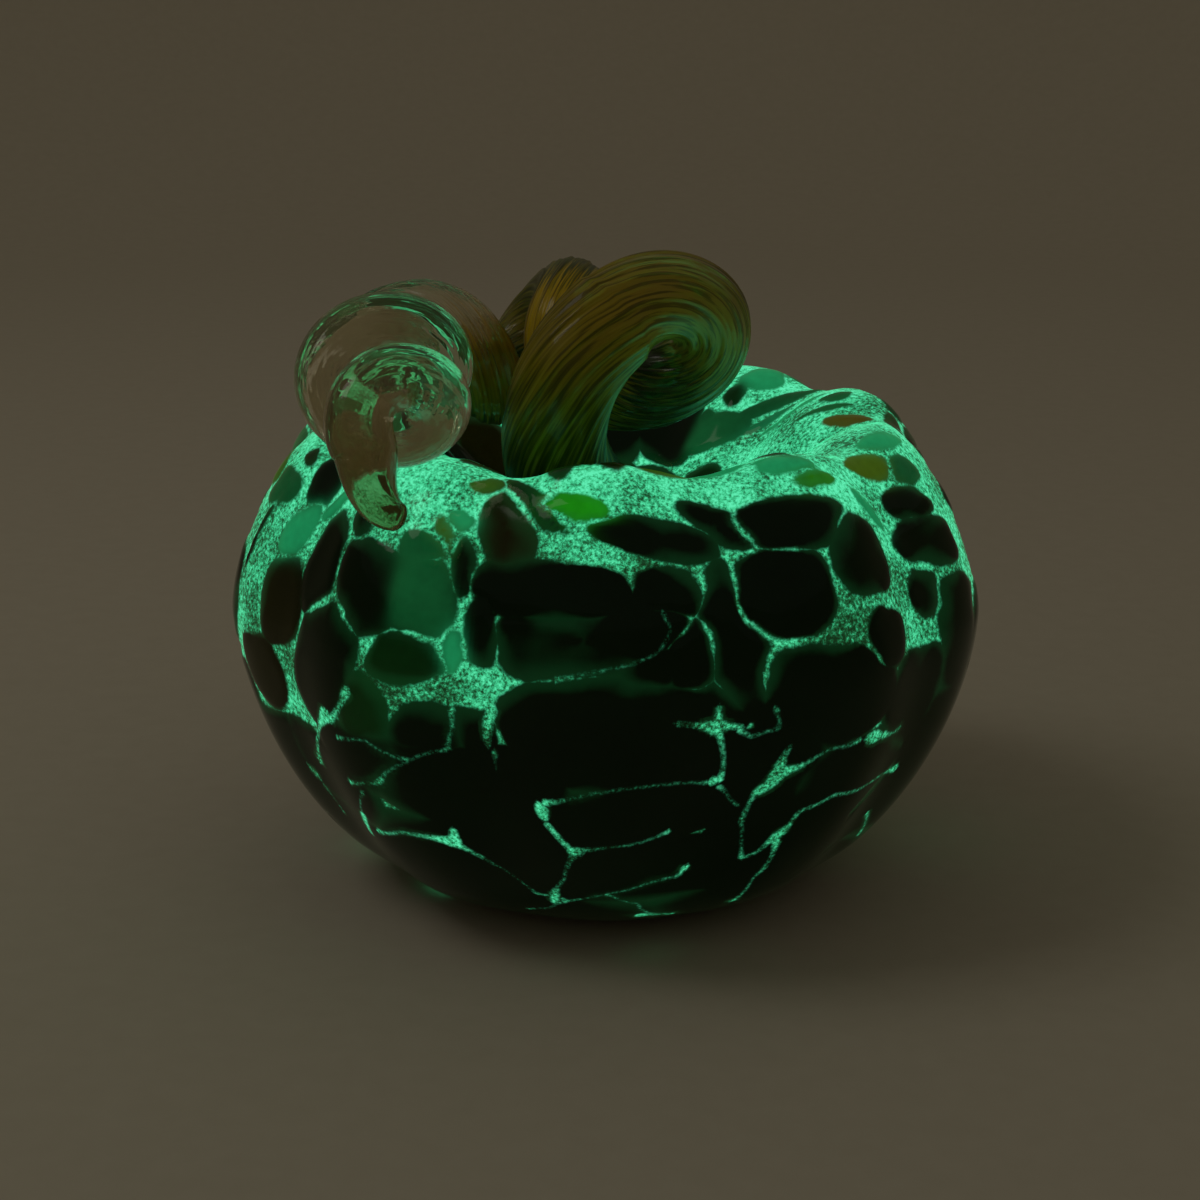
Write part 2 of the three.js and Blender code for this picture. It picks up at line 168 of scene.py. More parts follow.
class Wire:
    """An output socket in a material. Arithmetic on it adds Math nodes to that material."""

    def __init__(self, tree, socket=None):
        self.tree = tree
        self.socket = socket

    def node(self, kind, settings=None, inputs=None, out=0):
        """Adds a node of this kind, sets its settings, then sets or links its sockets."""
        made = self.tree.nodes.new(kind)
        for key, value in (settings or {}).items():
            if key == "stops":
                made_stops = made.color_ramp.elements
                while len(made_stops) < len(value):
                    made_stops.new(0.5)
                for stop, (place, colour) in zip(made_stops, value):
                    stop.position = place
                    stop.color = (*colour, 1)
            else:
                setattr(made, key, value)
        for key, value in (inputs or {}).items():
            if isinstance(value, Wire):
                self.tree.links.new(value.socket, made.inputs[key])
            else:
                made.inputs[key].default_value = value
        return Wire(self.tree, made.outputs[out]) if made.outputs else None

    def maths(self, operation, a, b):
        """One Math node on two values."""
        return self.node("ShaderNodeMath", {"operation": operation}, {0: a, 1: b})

    def __add__(self, other):
        return self.maths("ADD", self, other)

    def __sub__(self, other):
        return self.maths("SUBTRACT", self, other)

    def __rsub__(self, other):
        return self.maths("SUBTRACT", other, self)

    def __mul__(self, other):
        return self.maths("MULTIPLY", self, other)

    def __truediv__(self, other):
        return self.maths("DIVIDE", self, other)

    __radd__ = __add__
    __rmul__ = __mul__

    def or_more(self, other):
        """The greater of the two."""
        return self.maths("MAXIMUM", self, other)

    def or_less(self, other):
        """The lesser of the two."""
        return self.maths("MINIMUM", self, other)

    def eased(self, low, high):
        """0 below low, 1 above high, smooth between."""
        settings = {"interpolation_type": "SMOOTHSTEP"}
        return self.node("ShaderNodeMapRange", settings, {0: self, 1: low, 2: high})

    def mixed(self, first, second):
        """The first colour where this is 0, the second where it is 1."""
        inputs = {0: self, 6: first, 7: second}
        return self.node("ShaderNodeMix", {"data_type": "RGBA"}, inputs, out=2)

    def ramp(self, stops):
        """The colour at this value in a row of stops, each a place and a colour."""
        return self.node("ShaderNodeValToRGB", {"stops": stops}, {0: self})

    def axis(self, number):
        """One of a vector's three numbers."""
        return self.node("ShaderNodeSeparateXYZ", None, {0: self}, out=number)

    def noise(self, scale, detail, roughness=0.5):
        """Noise about one half, read at this place."""
        inputs = {"Vector": self, "Scale": scale, "Detail": detail, "Roughness": roughness}
        return self.node("ShaderNodeTexNoise", None, inputs)

    def painted(self, name, out=1):
        """What paint stored on the piece's points: output 1 gives a vector or colour, 2 a number."""
        return self.node("ShaderNodeAttribute", {"attribute_name": name}, None, out)


def new_finish(name):
    """An empty material, and a wire to build it with."""
    finish = bpy.data.materials.new(name)
    finish.use_nodes = True
    finish.node_tree.nodes.clear()
    return finish, Wire(finish.node_tree)


def close_finish(start, sockets):
    """Ends a material with one surface shader that has these sockets."""
    surface = start.node("ShaderNodeBsdfPrincipled", None, sockets)
    start.node("ShaderNodeOutputMaterial", None, {"Surface": surface})


outside = walk_up(0.0, 3.0, BUBBLE_ROWS)
inside = np.concatenate([
    walk_up(3.0, 2.0, NECK_ROWS), walk_up(INSIDE_TOP, INSIDE_BOTTOM, INSIDE_ROWS)])
bubble_turn = np.linspace(0, 2 * math.pi, BUBBLE_COLUMNS, endpoint=False)[None, :]
hollow_edge = FOOT_RADIUS - FOOT_RING_WIDTH
bubble = lay_rows("bubble_glass", np.concatenate([
    flat_rings([hollow_edge - FOOT_HOLLOW_SLOPE, hollow_edge], [FOOT_HOLLOW, 0], BUBBLE_COLUMNS),
    on_body(bubble_turn, outside[:, None], 0.0),
    on_body(bubble_turn, inside[:, None], -BUBBLE_WALL),
]), bottom=(0, 0, FOOT_HOLLOW), top=(0, 0, FOOT_HOLLOW + BUBBLE_WALL))

clear_finish, start = new_finish("clear_blown_glass")
place = start.node("ShaderNodeTexCoord", out=3)
ground = place.noise(900.0, 3.0)
height = place.axis(2)
on_foot = 1 - height.eased(GROUND_UP_TO, CLEAR_FROM)
close_finish(start, {
    "Base Color": on_foot.mixed(CLEAR_GLASS, GROUND_GLASS),
    "Roughness": 0.03 + on_foot * (0.25 + ground * 0.2),
    "IOR": GLASS_IOR,
    "Transmission Weight": 0.9,
})
bubble.data.materials.append(clear_finish)
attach(bubble, "root")
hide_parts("bubble")


# The light-storing layer and the dark chips: glowing powder was rolled on to the hot bubble, then
# flat chips of dark green, olive and amber glass, and all was melted in until the chips ran
# together low down on the body. The layer glows through the cracks that the chips leave open.
SKIN_FROM = 0.15
SKIN_TO = 2.94
SKIN_COLUMNS = 480
SKIN_ROWS = 182
UNDER_ROWS = 22
SKIN_UNDER = 0.35
POWDER_LIFT = 1.55
CHIP_RISE = 0.4
SKIN_EDGE = 0.1
MELT_DOWN = 0.6
CHIP_GROUPS = 6
CHIP_FIELD = 12.0
CHIP_WAVES = ((2, 0.07), (3, 0.06), (5, 0.03))
OVAL_POWER = 1.6
BOX_GAIN = 0.9
SMALL_CHIP = 3
LARGER_BY = 6
TONE_RUN = 0.8
CRACK_WIDTH = 0.55
CRACKS_OPEN_UP = 61
CRACKS_OPEN_OVER = 10
LINED_FRONT = 80
LINED_FADE = 12
LINE_GROUPS = 3
LINE_FAR = 9.0
LINE_NONE = -6.0
LINE_BOW = 0.06
LINE_REACH = 1.2
THIN_SHARE = 0.36
FLARE_SHARE = 0.95
FLARE_LENGTH = 1.4
SPOT_LENGTH = 4
SPOT_WIDTH = 0.85
FILL_BELOW = 60.0
FILL_ASIDE = 1.3
FILL_WIDE = 15.0
FILL_TALL = 11.0
BARE_REACH = 1.8
MOST_FILLS = 60
SEED = 11

DARK = (0.0003, 0.0016, 0.0003)
DEEP_GREEN = (0.0008, 0.0110, 0.0015)
BRIGHT_GREEN = (0.0075, 0.2000, 0.0040)
OLIVE = (0.0250, 0.0700, 0.0050)
MILKY = (0.0090, 0.2250, 0.0780)
AMBER = (0.0360, 0.0760, 0.0030)
RUST = (0.0420, 0.0360, 0.0020)
LIME = (0.0120, 0.1100, 0.0010)
BROWN = (0.0035, 0.0032, 0.0004)
MURKY = (0.0030, 0.0560, 0.0150)
HAZY = (0.0060, 0.1300, 0.0450)
SEEPING_GLOW = (0.012, 0.150, 0.040, 1)
POWDER_UNLIT = (0.06, 0.16, 0.11, 1)
CHIP_UNLIT = (0.003, 0.006, 0.003, 1)

# Chips seen from the front, also those inside the far rim: turn in degrees (0 faces the viewer),
# mm up the side from the foot, width, height, clockwise lean in degrees, and the colour that shows.
FRONT_CHIPS = [
    (-76, 61, 8, 14, -20, DARK), (-58, 63.5, 11, 13, -18, BROWN), (-49, 70.5, 9, 15.5, 11, DARK),
    (-37, 69.5, 13, 13, -9, DARK), (-28, 69.5, 10, 12, -9, MURKY), (-45, 57.5, 15, 19.5, 13, DARK),
    (-29, 61, 12, 6.8, -7, DEEP_GREEN), (-22, 63, 3.5, 6, -9, MILKY), (-18, 65.5, 5.5, 9.5, -8, DARK),
    (-36, 53, 10, 10, 0, DEEP_GREEN), (-26, 51, 12, 9, 0, DARK), (-19, 51, 7, 9, 0, DARK),
    (-38, 45, 20, 12, 5, DARK), (-63, 52, 11.5, 12, -25, BROWN), (-21, 86, 5, 3.3, 0, OLIVE),
    (-16, 79.7, 8, 12, -30, BROWN), (-12, 83.3, 14, 3.6, 41, DARK), (-5, 82.6, 9.8, 3.8, 11, BRIGHT_GREEN),
    (8.5, 78.4, 16.5, 6.4, 10, DARK), (18, 80.5, 12, 5, 41, DARK), (-8, 71, 22, 10, 12, DARK),
    (-3, 65.5, 25, 11, -2, DARK), (9.5, 71.5, 11.5, 7.6, 5, DARK), (12, 62, 8.5, 12, 0, DARK),
    (18.5, 63.5, 10, 22, -11, DARK), (2.5, 53, 33, 18, 0, DARK), (31, 79, 16.5, 8, 10, DARK),
    (42, 73, 11.5, 12, 0, DARK), (26, 70, 17.5, 11.5, 9, DARK), (61, 77.5, 12.5, 5.2, 15, DARK),
    (62, 71.5, 16, 8, 11, DARK), (57, 65, 8, 7.5, 0, DARK), (44, 61, 9, 10, 0, DARK),
    (33, 55, 24, 16, 0, DARK), (4, 40, 30, 13, 0, DARK),
    (94, 93, 3.4, 8.5, 44, RUST), (57, 84.7, 10.6, 4.8, 18, AMBER),
    (65, 81.8, 8, 4.6, 20, MURKY), (38, 84.6, 8, 2.8, 8, LIME), (34, 87.2, 9.5, 3.6, 9, MILKY),
    (66, 87, 10, 3.4, 18, MILKY), (11, 89, 8, 2.2, 0, OLIVE), (22, 90.5, 8.5, 3, 10, MILKY),
    (49, 79.2, 2.4, 8, -32, MILKY), (-20, 42, 30, 19, 5, DARK),
    (-24, 28, 32, 18, 0, DARK), (3, 28, 30, 18, 0, DARK), (23.5, 43.5, 20, 20, -15, DARK),
    (40, 40, 26, 18, -15, DARK), (30, 28, 28, 18, -10, DARK), (53, 50, 16, 18, 0, DARK),
    (66, 57, 14, 19, 0, DARK), (-50, 38, 24, 16, 0, DARK), (-42, 78.3, 4.8, 6.2, -20, DARK),
    (-58, 81.5, 7, 7.5, -12, DARK), (-66, 83.5, 4, 2.7, 0, BROWN), (-69, 78, 10, 6, -6, MURKY),
    (-52, 79.5, 3, 7, 36, MILKY), (-59, 73.5, 5.5, 10.5, 28, MILKY), (-29, 75.5, 7, 5.5, -10, MURKY),
    (-26, 78.3, 2.8, 5.2, -27, OLIVE), (-22, 74.3, 3.8, 8.5, -11, DARK), (-24, 80.4, 4, 3, 0, MILKY),
    (62, 30, 26, 18, 0, DARK), (6.5, 61.5, 10, 6.5, 0, DARK), (-70, 71, 1.5, 16, 14, DARK),
    (-52, 26, 26, 16, 0, DARK), (66, 43, 20, 18, 0, DARK), (-66, 36, 20, 22, 0, DARK),
    (-62, 14, 30, 17, 0, DARK), (-30, 13, 34, 20, 0, DARK), (-4, 12, 36, 22, 0, DARK),
    (26, 13, 34, 20, 0, DARK), (58, 14, 34, 20, 0, DARK), (80, 22, 22, 26, 0, DARK),
    (-82, 24, 22, 26, 0, DARK), (-74, 44, 14, 16, 0, DARK), (78, 44, 16, 18, 0, DARK),
    (141, 104, 6, 14, 45, MURKY), (129, 95, 3.6, 16, 32, MURKY), (138, 91.3, 6, 7.5, 42, MILKY),
    (141, 96.2, 4, 5, -9, DEEP_GREEN), (146, 101.6, 3.4, 3.4, 0, MURKY), (107, 92, 5, 4, -44, MURKY),
    (118, 97, 1.8, 13, 36, MILKY), (104, 95, 1.6, 10, 38, MURKY), (127, 99, 1.8, 10, 30, HAZY),
]

# Lines where the chips have parted low down on the front: width in mm at the start and at the
# end, then the places that the line runs through, as turn and mm up. A width below zero ends the
# line early.
GLOW_LINES = [
    (0.9, 0.5, (-9, 42), (-2, 44.5), (3, 45.3), (15, 44)), (2.0, 1.2, (-10, 42.2), (-9, 38.5)),
    (1.0, 0.9, (-9, 38.5), (-7, 36), (-5, 33.5)), (1.4, 1.2, (-6, 34.5), (-4, 33)),
    (0.9, 0.6, (-5, 34), (2, 35), (6, 35.5), (10, 36.5)), (0.7, 0.7, (-5, 33), (-7, 27.5), (-9, 23.5)),
    (0.5, 0.5, (-13, 22), (-9, 22), (-7, 21.5)), (1.2, 1.2, (-10, 19.5), (-9, 24.5)),
    (0.5, 0.5, (-17, 15.5), (-11, 18), (-8, 21)),
    (0.6, 0.9, (-8, 21), (0, 24), (7, 25.8), (13, 26), (14, 28)),
    (0.4, 0.8, (0, 24), (6, 20.5), (11, 15)), (1.4, 0.8, (7, 16), (15, 14)),
    (0.9, 1.4, (17, 44), (17, 48.5), (15.5, 53)), (1.6, 1.2, (15, 44), (17, 44)),
    (0.4, 2.0, (9.5, 54.4), (15.3, 53)), (2.0, 0.5, (15.3, 53), (19.5, 52.4)),
    (0.4, 1.6, (15.8, 56), (15.5, 53)),
    (0.7, 0.5, (19, 52), (21, 50.8), (25, 51.8), (24, 55)), (0.5, 0.3, (17, 43), (19, 40.7), (21, 39)),
    (0.6, 2.2, (22, 36), (23, 40.8), (26, 44.7)), (2.0, 0.4, (26, 44.7), (30, 46)),
    (1.8, 1.5, (23, 41), (27, 45.5)), (1.4, 0.3, (26, 45.5), (27, 49)),
    (0.5, 0.6, (30, 46), (34, 47.8), (39, 48)), (2.0, 1.6, (40, 47.8), (45, 47)),
    (1.0, 0.5, (45, 47), (51, 46)),
    (0.5, 1.3, (24, 28.5), (27, 30.5), (29, 33.3)), (1.2, 0.6, (29, 32), (29, 25.7)),
    (1.3, 1.2, (29, 33.3), (31, 37.5), (37, 39.4), (48, 37.8), (57, 37)),
    (0.4, 0.6, (22, 36), (23, 32), (24, 28.5)),
    (0.9, 0.9, (57, 28), (62, 22)), (0.5, 0.9, (29, 25.7), (28, 23), (27, 17)),
    (0.8, 0.8, (-43, 40), (-39, 41), (-35, 42.3)),
    (0.6, 0.4, (-35, 42.3), (-32, 45), (-29, 46.7), (-23, 48.6)),
    (2.4, 1.4, (-44, 50.5), (-53, 39.5)), (0.6, 0.5, (-42, 47.6), (-36, 48.8), (-29, 46.7)),
    (0.5, 0.8, (-23, 48.6), (-22, 52), (-22, 55)), (2.2, 0.9, (-16, 55.5), (-17, 49.5)),
    (0.7, -0.3, (-16, 49), (-16, 45.5)), (0.5, 0.5, (-40, 39), (-43, 35.4), (-45, 31)),
    (1.6, 1.2, (-44, 33.2), (-47, 27.5)), (0.9, 1.8, (-42, 30.5), (-35, 32.8), (-26, 32.3)),
    (1.6, 0.4, (-26, 32.3), (-21, 29)), (0.5, 1.8, (-25, 34.8), (-25.5, 32.2)),
    (0.4, 0.4, (-21, 29), (-18, 27), (-13, 22)),
    (1.2, 1.0, (-59, 37.5), (-57, 34.4)), (0.6, 0.5, (-57, 33.7), (-56, 28)),
    (0.6, 0.3, (-7, 60.3), (1, 62), (7, 63.8), (9, 66.7), (8, 69)), (1.4, 1.2, (-38, 55.6), (-43, 50)),
]

# Places where neighbouring chips have run together, as turn, mm up, half width and half height.
RUN_TOGETHER = [
    (-33, 69.5, 4, 7), (-13.5, 75.5, 6, 2), (-5, 69, 15, 2.6), (-15.5, 67, 2, 5), (12.5, 77.5, 5, 2),
    (36, 73, 3, 4), (5, 61.5, 9, 3), (61, 75, 5, 1.5), (-53, 67, 3, 5), (-30, 72.5, 6, 2),
]

# Worn places where the powder lies thin, given in the same way.
THIN_SPOTS = [
    (-2, 76, 12, 5), (38, 66, 12, 7), (-30, 57, 10, 4), (120, 60, 14, 10), (-130, 66, 14, 9),
]

# Millimetres walked up the side from the foot, for places on the side view.
SIDE_STEPS = 6001
foot_along = np.linspace(0, 3, SIDE_STEPS)
foot_r, foot_z = side_view(foot_along)
foot_walk = np.concatenate([[0], np.cumsum(np.hypot(np.diff(foot_r), np.diff(foot_z)))])


def radius_at(up):
    """Radius of the body's side view at this many mm up from the foot."""
    return side_view(np.interp(up, foot_walk, foot_along))[0]


def turned_from(turn, degrees):
    """Angle round the body from a place in degrees, as radians within half a turn either way."""
    return (turn - math.radians(degrees) + math.pi) % (2 * math.pi) - math.pi


def chip_inside(turn, up, radius, chip, waves):
    """How far inside a chip's outline each place lies, in mm: one minus the place's share of the
    way out, over that share's slope. The outline is a superellipse, a pointed oval for small chips
    and a rounded box for large ones, bent by waves of two, three and five lobes."""
    at_turn, at_up, wide, tall, lean, _ = chip
    away = turned_from(turn, at_turn)
    c, s = math.cos(math.radians(lean)), math.sin(math.radians(lean))
    x = (away * radius * c - (up - at_up) * s) / (wide / 2)
    y = (away * radius * s + (up - at_up) * c) / (tall / 2)
    large = min(max((min(wide, tall) - SMALL_CHIP) / LARGER_BY, 0.0), 1.0)
    power = OVAL_POWER + BOX_GAIN * large
    across, upward = np.abs(x) + 1e-3, np.abs(y) + 1e-3
    share = (across ** power + upward ** power) ** (1 / power)
    slope = share ** (1 - power) * np.hypot(
        across ** (power - 1) * 2 / wide, upward ** (power - 1) * 2 / tall)
    angle = np.arctan2(y, x)
    bent = 1
    for (lobes, swell), begin in zip(CHIP_WAVES, waves):
        bent = bent + swell * np.cos(lobes * angle + begin)
    return np.clip((bent - share) / slope, -CHIP_FIELD, CHIP_FIELD)


def line_across(turn, up, radius, glow_line):
    """Distance across a glowing line, with a sign for its side, and half its width there, in mm.
    A line flares out at its ends and is thin between them; a short wide one is a lens-shaped spot."""
    start, end, *points = glow_line
    steps = [(math.radians(b[0] - a[0]) * radius, b[1] - a[1]) for a, b in zip(points, points[1:])]
    lengths = [np.hypot(*step) for step in steps]
    whole = sum(lengths)
    spot = 1 - smooth((whole - SPOT_LENGTH) / SPOT_LENGTH) if min(start, end) > SPOT_WIDTH else 0.0
    across = np.full(turn.shape, LINE_FAR)
    half = np.full(turn.shape, LINE_NONE)
    walked = 0.0
    for (turn_a, up_a), (run, rise), length in zip(points, steps, lengths):
        away = turned_from(turn, turn_a)
        x, y = away * radius, up - up_a
        along = (x * run + y * rise) / length
        share = np.clip(along / length, 0, 1)
        bow = LINE_BOW * length * np.sin(math.pi * share) * math.sin(1.3 * (turn_a + 2 * up_a))
        side = (y * run - x * rise) / length - bow
        past = np.maximum(np.maximum(-along, along - length), 0)
        far = (walked + share * length) / whole
        between = start + (end - start) * far
        flare_in = start * np.exp(-far * whole / FLARE_LENGTH)
        flare_out = end * np.exp((far - 1) * whole / FLARE_LENGTH)
        lens = between * (1.1 - (2 * far - 1) ** 2)
        thin = THIN_SHARE * between + FLARE_SHARE * (flare_in + flare_out)
        width = spot * lens + (1 - spot) * thin
        here = width / 2 - past - np.maximum(np.abs(side) - LINE_REACH, 0)
        nearer = here - np.abs(side) > half - np.abs(across)
        across = np.where(nearer, side, across)
        half = np.where(nearer, here, half)
        walked = walked + length
    return np.stack([np.clip(across, -LINE_FAR, LINE_FAR), np.clip(half, LINE_NONE, -LINE_NONE)])


# Seeded chips: width and height in mm low down, then what is added on the shoulder, in the dimple
# and by the stem, each on top of the last. The zones are in degrees of turn and mm up.
LOW_CHIP = np.array([28, 16])
SHOULDER_ADDS = np.array([-18, -11])
DIMPLE_ADDS = np.array([-4.5, 6])
STEM_ADDS = np.array([4, 2])
SEEDED_FROM = 7.0
SEEDED_TO = 122
SHOULDER_UP = 45
SHOULDER_OVER = 35
DIMPLE_UP = 88
DIMPLE_OVER = 8
STEM_UP = 97
STEM_OVER = 6
FRONT_TURN = 74
FRONT_UP = 91
BRIGHT_TURN = (60, 156)
BRIGHT_UP = (86, 110)
BACK_TURN = (-98, 156)
BACK_UP = 82


def scattered_chips(chance, taken):
    """Chips for the rest of the body, in level rows: about 28 by 16 mm low down, 10 by 5 on the
    shoulder, 5 by 11 in the dimple and 10 by 13 near the stem, each size drawn with some play.
    None lands on a chip that is there already, in the front's own field or on the bright slope."""
    chips = []
    up = SEEDED_FROM
    while up < SEEDED_TO:
        high = smooth((up - SHOULDER_UP) / SHOULDER_OVER)
        dimple = smooth((up - DIMPLE_UP) / DIMPLE_OVER)
        near_stem = smooth((up - STEM_UP) / STEM_OVER)
        wide, tall = LOW_CHIP + SHOULDER_ADDS * high + DIMPLE_ADDS * dimple + STEM_ADDS * near_stem
        spacing = wide * (1.08 + 0.5 * dimple - 0.5 * near_stem)
        count = int(2 * math.pi * radius_at(up) / spacing)
        for i in range(count):
            turn = 360 * (i + chance.uniform(-0.28, 0.28)) / count + 37 * up
            turn = (turn + 180) % 360 - 180
            here = up + chance.uniform(-0.2, 0.2) * tall
            size = chance.uniform(0.75 - 0.25 * dimple, 1.25, 2) * (1.35 - 0.35 * high)
            bright_slope = BRIGHT_UP[0] < here < BRIGHT_UP[1] and BRIGHT_TURN[0] < turn < BRIGHT_TURN[1]
            shaded_back = here > BACK_UP and not BACK_TURN[0] <= turn <= BACK_TURN[1]
            # Chips by the stem, on the dimple's front and left side and over the back of the shoulder are
            # darker and larger: painted shade.
            tone = DARK
            if here > 96 or here > 89 and turn < 20 or shaded_back:
                tone = [DARK, DARK, BROWN, DEEP_GREEN, MURKY][chance.integers(5)]
                size = size * 1.3
            elif up > 78:
                tone = [DARK, DARK, DEEP_GREEN, DEEP_GREEN, MURKY, MILKY, OLIVE][chance.integers(7)]
            elif chance.random() < 0.12:
                tone = [DEEP_GREEN, BROWN][chance.integers(2)]
            lean = chance.uniform(-22, 22)
            in_front = abs(turn) < FRONT_TURN and here < FRONT_UP
            spot = np.array([math.radians(turn)]), np.array([here]), radius_at(here)
            near = any(chip_inside(*spot, chip, (0, 0, 0))[0] > -1.5 for chip in taken)
            if not in_front and not bright_slope and not near:
                chips.append((turn, here, wide * size[0], tall * size[1], lean, tone))
        up += tall * 0.95
    return chips


def keep_apart(near, groups):
    """Group for each shape, given which points each one is near to. Shapes that lie close together
    go into different groups, so that the edges between them stay sharp."""
    near = near.astype(np.float32)
    touching = (near @ near.T) > 0
    group = np.full(len(near), -1)
    for i in np.argsort(-touching.sum(axis=1)):
        used = np.bincount(group[touching[i] & (group >= 0)], minlength=groups)
        total = np.bincount(group[group >= 0], minlength=groups)
        group[i] = np.argmin(used * 1000 + total)
    return group


skin_along = walk_up(SKIN_FROM, SKIN_TO, SKIN_ROWS)
skin_turn = np.linspace(0, 2 * math.pi, SKIN_COLUMNS, endpoint=False)
turn, along = np.meshgrid(skin_turn, skin_along)
up = np.interp(along, foot_along, foot_walk)
radius = side_view(along)[0]

chance = np.random.default_rng(SEED)
chips = FRONT_CHIPS + scattered_chips(chance, FRONT_CHIPS)
depth = np.stack([
    chip_inside(turn, up, radius, chip, chance.uniform(0, 2 * math.pi, 3)).astype(np.float32)
    for chip in chips]).reshape(len(chips), -1)

# Low down at the sides and back small chips fill the bare places, the widest first.
swing = turned_from(turn, 0)
left_alone = np.where((up < FILL_BELOW) & (np.abs(swing) > FILL_ASIDE), 0.0, 99.0)
reached = left_alone.ravel() + depth.max(axis=0)
added = []
while reached.min() < -BARE_REACH and len(added) < MOST_FILLS:
    bare = reached.argmin()
    lean = chance.uniform(-25, 25)
    fill = (math.degrees(turn.flat[bare]), up.flat[bare], FILL_WIDE, FILL_TALL, lean, DARK)
    added.append(chip_inside(turn, up, radius, fill, chance.uniform(0, 2 * math.pi, 3)).ravel())
    reached = np.maximum(reached, added[-1])
    chips.append(fill)
depth = np.concatenate([depth, np.array(added, np.float32).reshape(len(added), -1)])

# Where two chips meet, each is cut back to the line halfway between them, less half a crack.
# Low down most cracks have closed, and a few stay open round the sides and back.
second, first = np.partition(depth, len(chips) - 2, axis=0)[-2:]
rival = np.where(depth == first, second, first)
front = smooth((math.radians(LINED_FRONT) - np.abs(swing)) / math.radians(LINED_FADE))
parted = (np.sin(5.0 * turn + 0.11 * up) * np.sin(0.19 * up + 2 * turn)
          + 0.5 * np.sin(0.4 * up - 9 * turn))
low_crack = (1 - front) * (0.9 * parted - 1.3) - 4.0 * front
uneven = 0.35 * np.sin(11 * turn + 0.5 * up) * np.sin(0.37 * up - 6 * turn + 1.0)
closed = smooth((CRACKS_OPEN_UP - up) / CRACKS_OPEN_OVER)

# Chips have also run together in a few places on the front. The cracks close as well in the dimple
# by the stem, on its front and left side and over the back of the shoulder, least on its bright
# slope: this is painted shade, the glow hidden where these parts lie in shade.
bright_slope = smooth((0.9 - np.abs(swing - 1.9)) / 0.2)
shaded_by_stem = smooth((up - 96 - 14 * bright_slope) / 4)
shaded_slope = smooth((up - 89) / 4) * smooth((0.35 - swing) / 0.2)
shaded_back = smooth((up - 82) / 4) * smooth((np.abs(swing + 0.52) - 2.25) / 0.2)
merged_and_shaded = np.maximum(np.maximum(shaded_by_stem, shaded_slope), shaded_back)
for at_turn, at_up, half_wide, half_tall in RUN_TOGETHER:
    away = turned_from(turn, at_turn) * radius / half_wide
    merged_and_shaded = np.maximum(merged_and_shaded, np.exp(-away ** 2 - ((up - at_up) / half_tall) ** 2))
crack = CRACK_WIDTH + uneven + (low_crack - CRACK_WIDTH - uneven) * closed - 2.5 * merged_and_shaded
depth = np.minimum(depth, (depth - rival - crack.ravel()) / 2)
strokes = np.stack([line_across(turn, up, radius, glow_line) for glow_line in GLOW_LINES])
strokes = strokes.reshape(len(GLOW_LINES), 2, -1)

chip_group = keep_apart(depth > -2.5, CHIP_GROUPS)
fields = np.stack([depth[chip_group == g].max(axis=0) for g in range(CHIP_GROUPS)])
stroke_inside = strokes[:, 1] - np.abs(strokes[:, 0])
stroke_group = keep_apart(stroke_inside > -1.0, LINE_GROUPS)
stroke_fields = []
for g in range(LINE_GROUPS):
    mine = np.flatnonzero(stroke_group == g)
    best = mine[stroke_inside[mine].argmax(axis=0)]
    stroke_fields.append(strokes[best, :, np.arange(strokes.shape[2])])
stroke_fields = np.stack(stroke_fields)
covered = fields.max(axis=0)

# Colours run into one another where two chips have no crack between them.
blend = np.exp((depth - depth.max(axis=0)) / TONE_RUN)
tones = (blend.T @ np.array([chip[5] for chip in chips], np.float32)) / blend.sum(axis=0)[:, None]

rise = smooth((covered.reshape(turn.shape) + 1.0) / 2.5)
waver = 0.18 * np.sin(3 * turn + 0.09 * up) + 0.14 * np.sin(7 * turn - 0.13 * up + 1.0)
rim = smooth((along - SKIN_FROM) / 0.25) * smooth((SKIN_TO - along) / 0.1)
lift = SKIN_UNDER + SKIN_EDGE + rim * (POWDER_LIFT + CHIP_RISE * rise + waver - MELT_DOWN)
skin_rows = on_body(turn, along, lift)
under_along = walk_up(SKIN_TO, SKIN_FROM, UNDER_ROWS)
under_rows = on_body(skin_turn[None, :], under_along[:, None], SKIN_UNDER)
skin = lay_rows("glow_and_chips", np.concatenate([skin_rows, under_rows]), joined=True)


def paint(piece, name, kind, key, values, hidden):
    """Stores one value for each point of the outside, and the hidden value for the rest."""
    rest = np.full((len(piece.data.vertices) - len(values), *values.shape[1:]), hidden)
    attribute = piece.data.attributes.new(name, kind, "POINT")
    attribute.data.foreach_set(key, np.concatenate([values, rest]).astype(np.float32).ravel())


paint(skin, "chips_one", "FLOAT_VECTOR", "vector", fields[:3].T, 5.0)
paint(skin, "chips_two", "FLOAT_VECTOR", "vector", fields[3:].T, 5.0)
paint(skin, "line_across", "FLOAT_VECTOR", "vector", stroke_fields[:, :, 0].T, LINE_FAR)
paint(skin, "line_half", "FLOAT_VECTOR", "vector", stroke_fields[:, :, 1].T, LINE_NONE)
tone_rgba = np.concatenate([tones, np.ones((len(tones), 1), np.float32)], axis=1)
paint(skin, "tone", "FLOAT_COLOR", "color", tone_rgba, 0.0)

# Powder lies thick on the shoulders and thin in the worn places.
powder = 0.62 + 0.38 * smooth((up - 72) / 12)
for at_turn, at_up, half_wide, half_tall in THIN_SPOTS:
    away = turned_from(turn, at_turn) * radius / half_wide
    spot = np.hypot(away, (up - at_up) / half_tall)
    powder = powder - 0.5 * np.exp(-spot ** 2 * 1.5)
paint(skin, "powder", "FLOAT", "value", powder.ravel(), 0.0)

skin_finish, start = new_finish("powder_under_dark_chips")
place = start.node("ShaderNodeTexCoord", out=3)

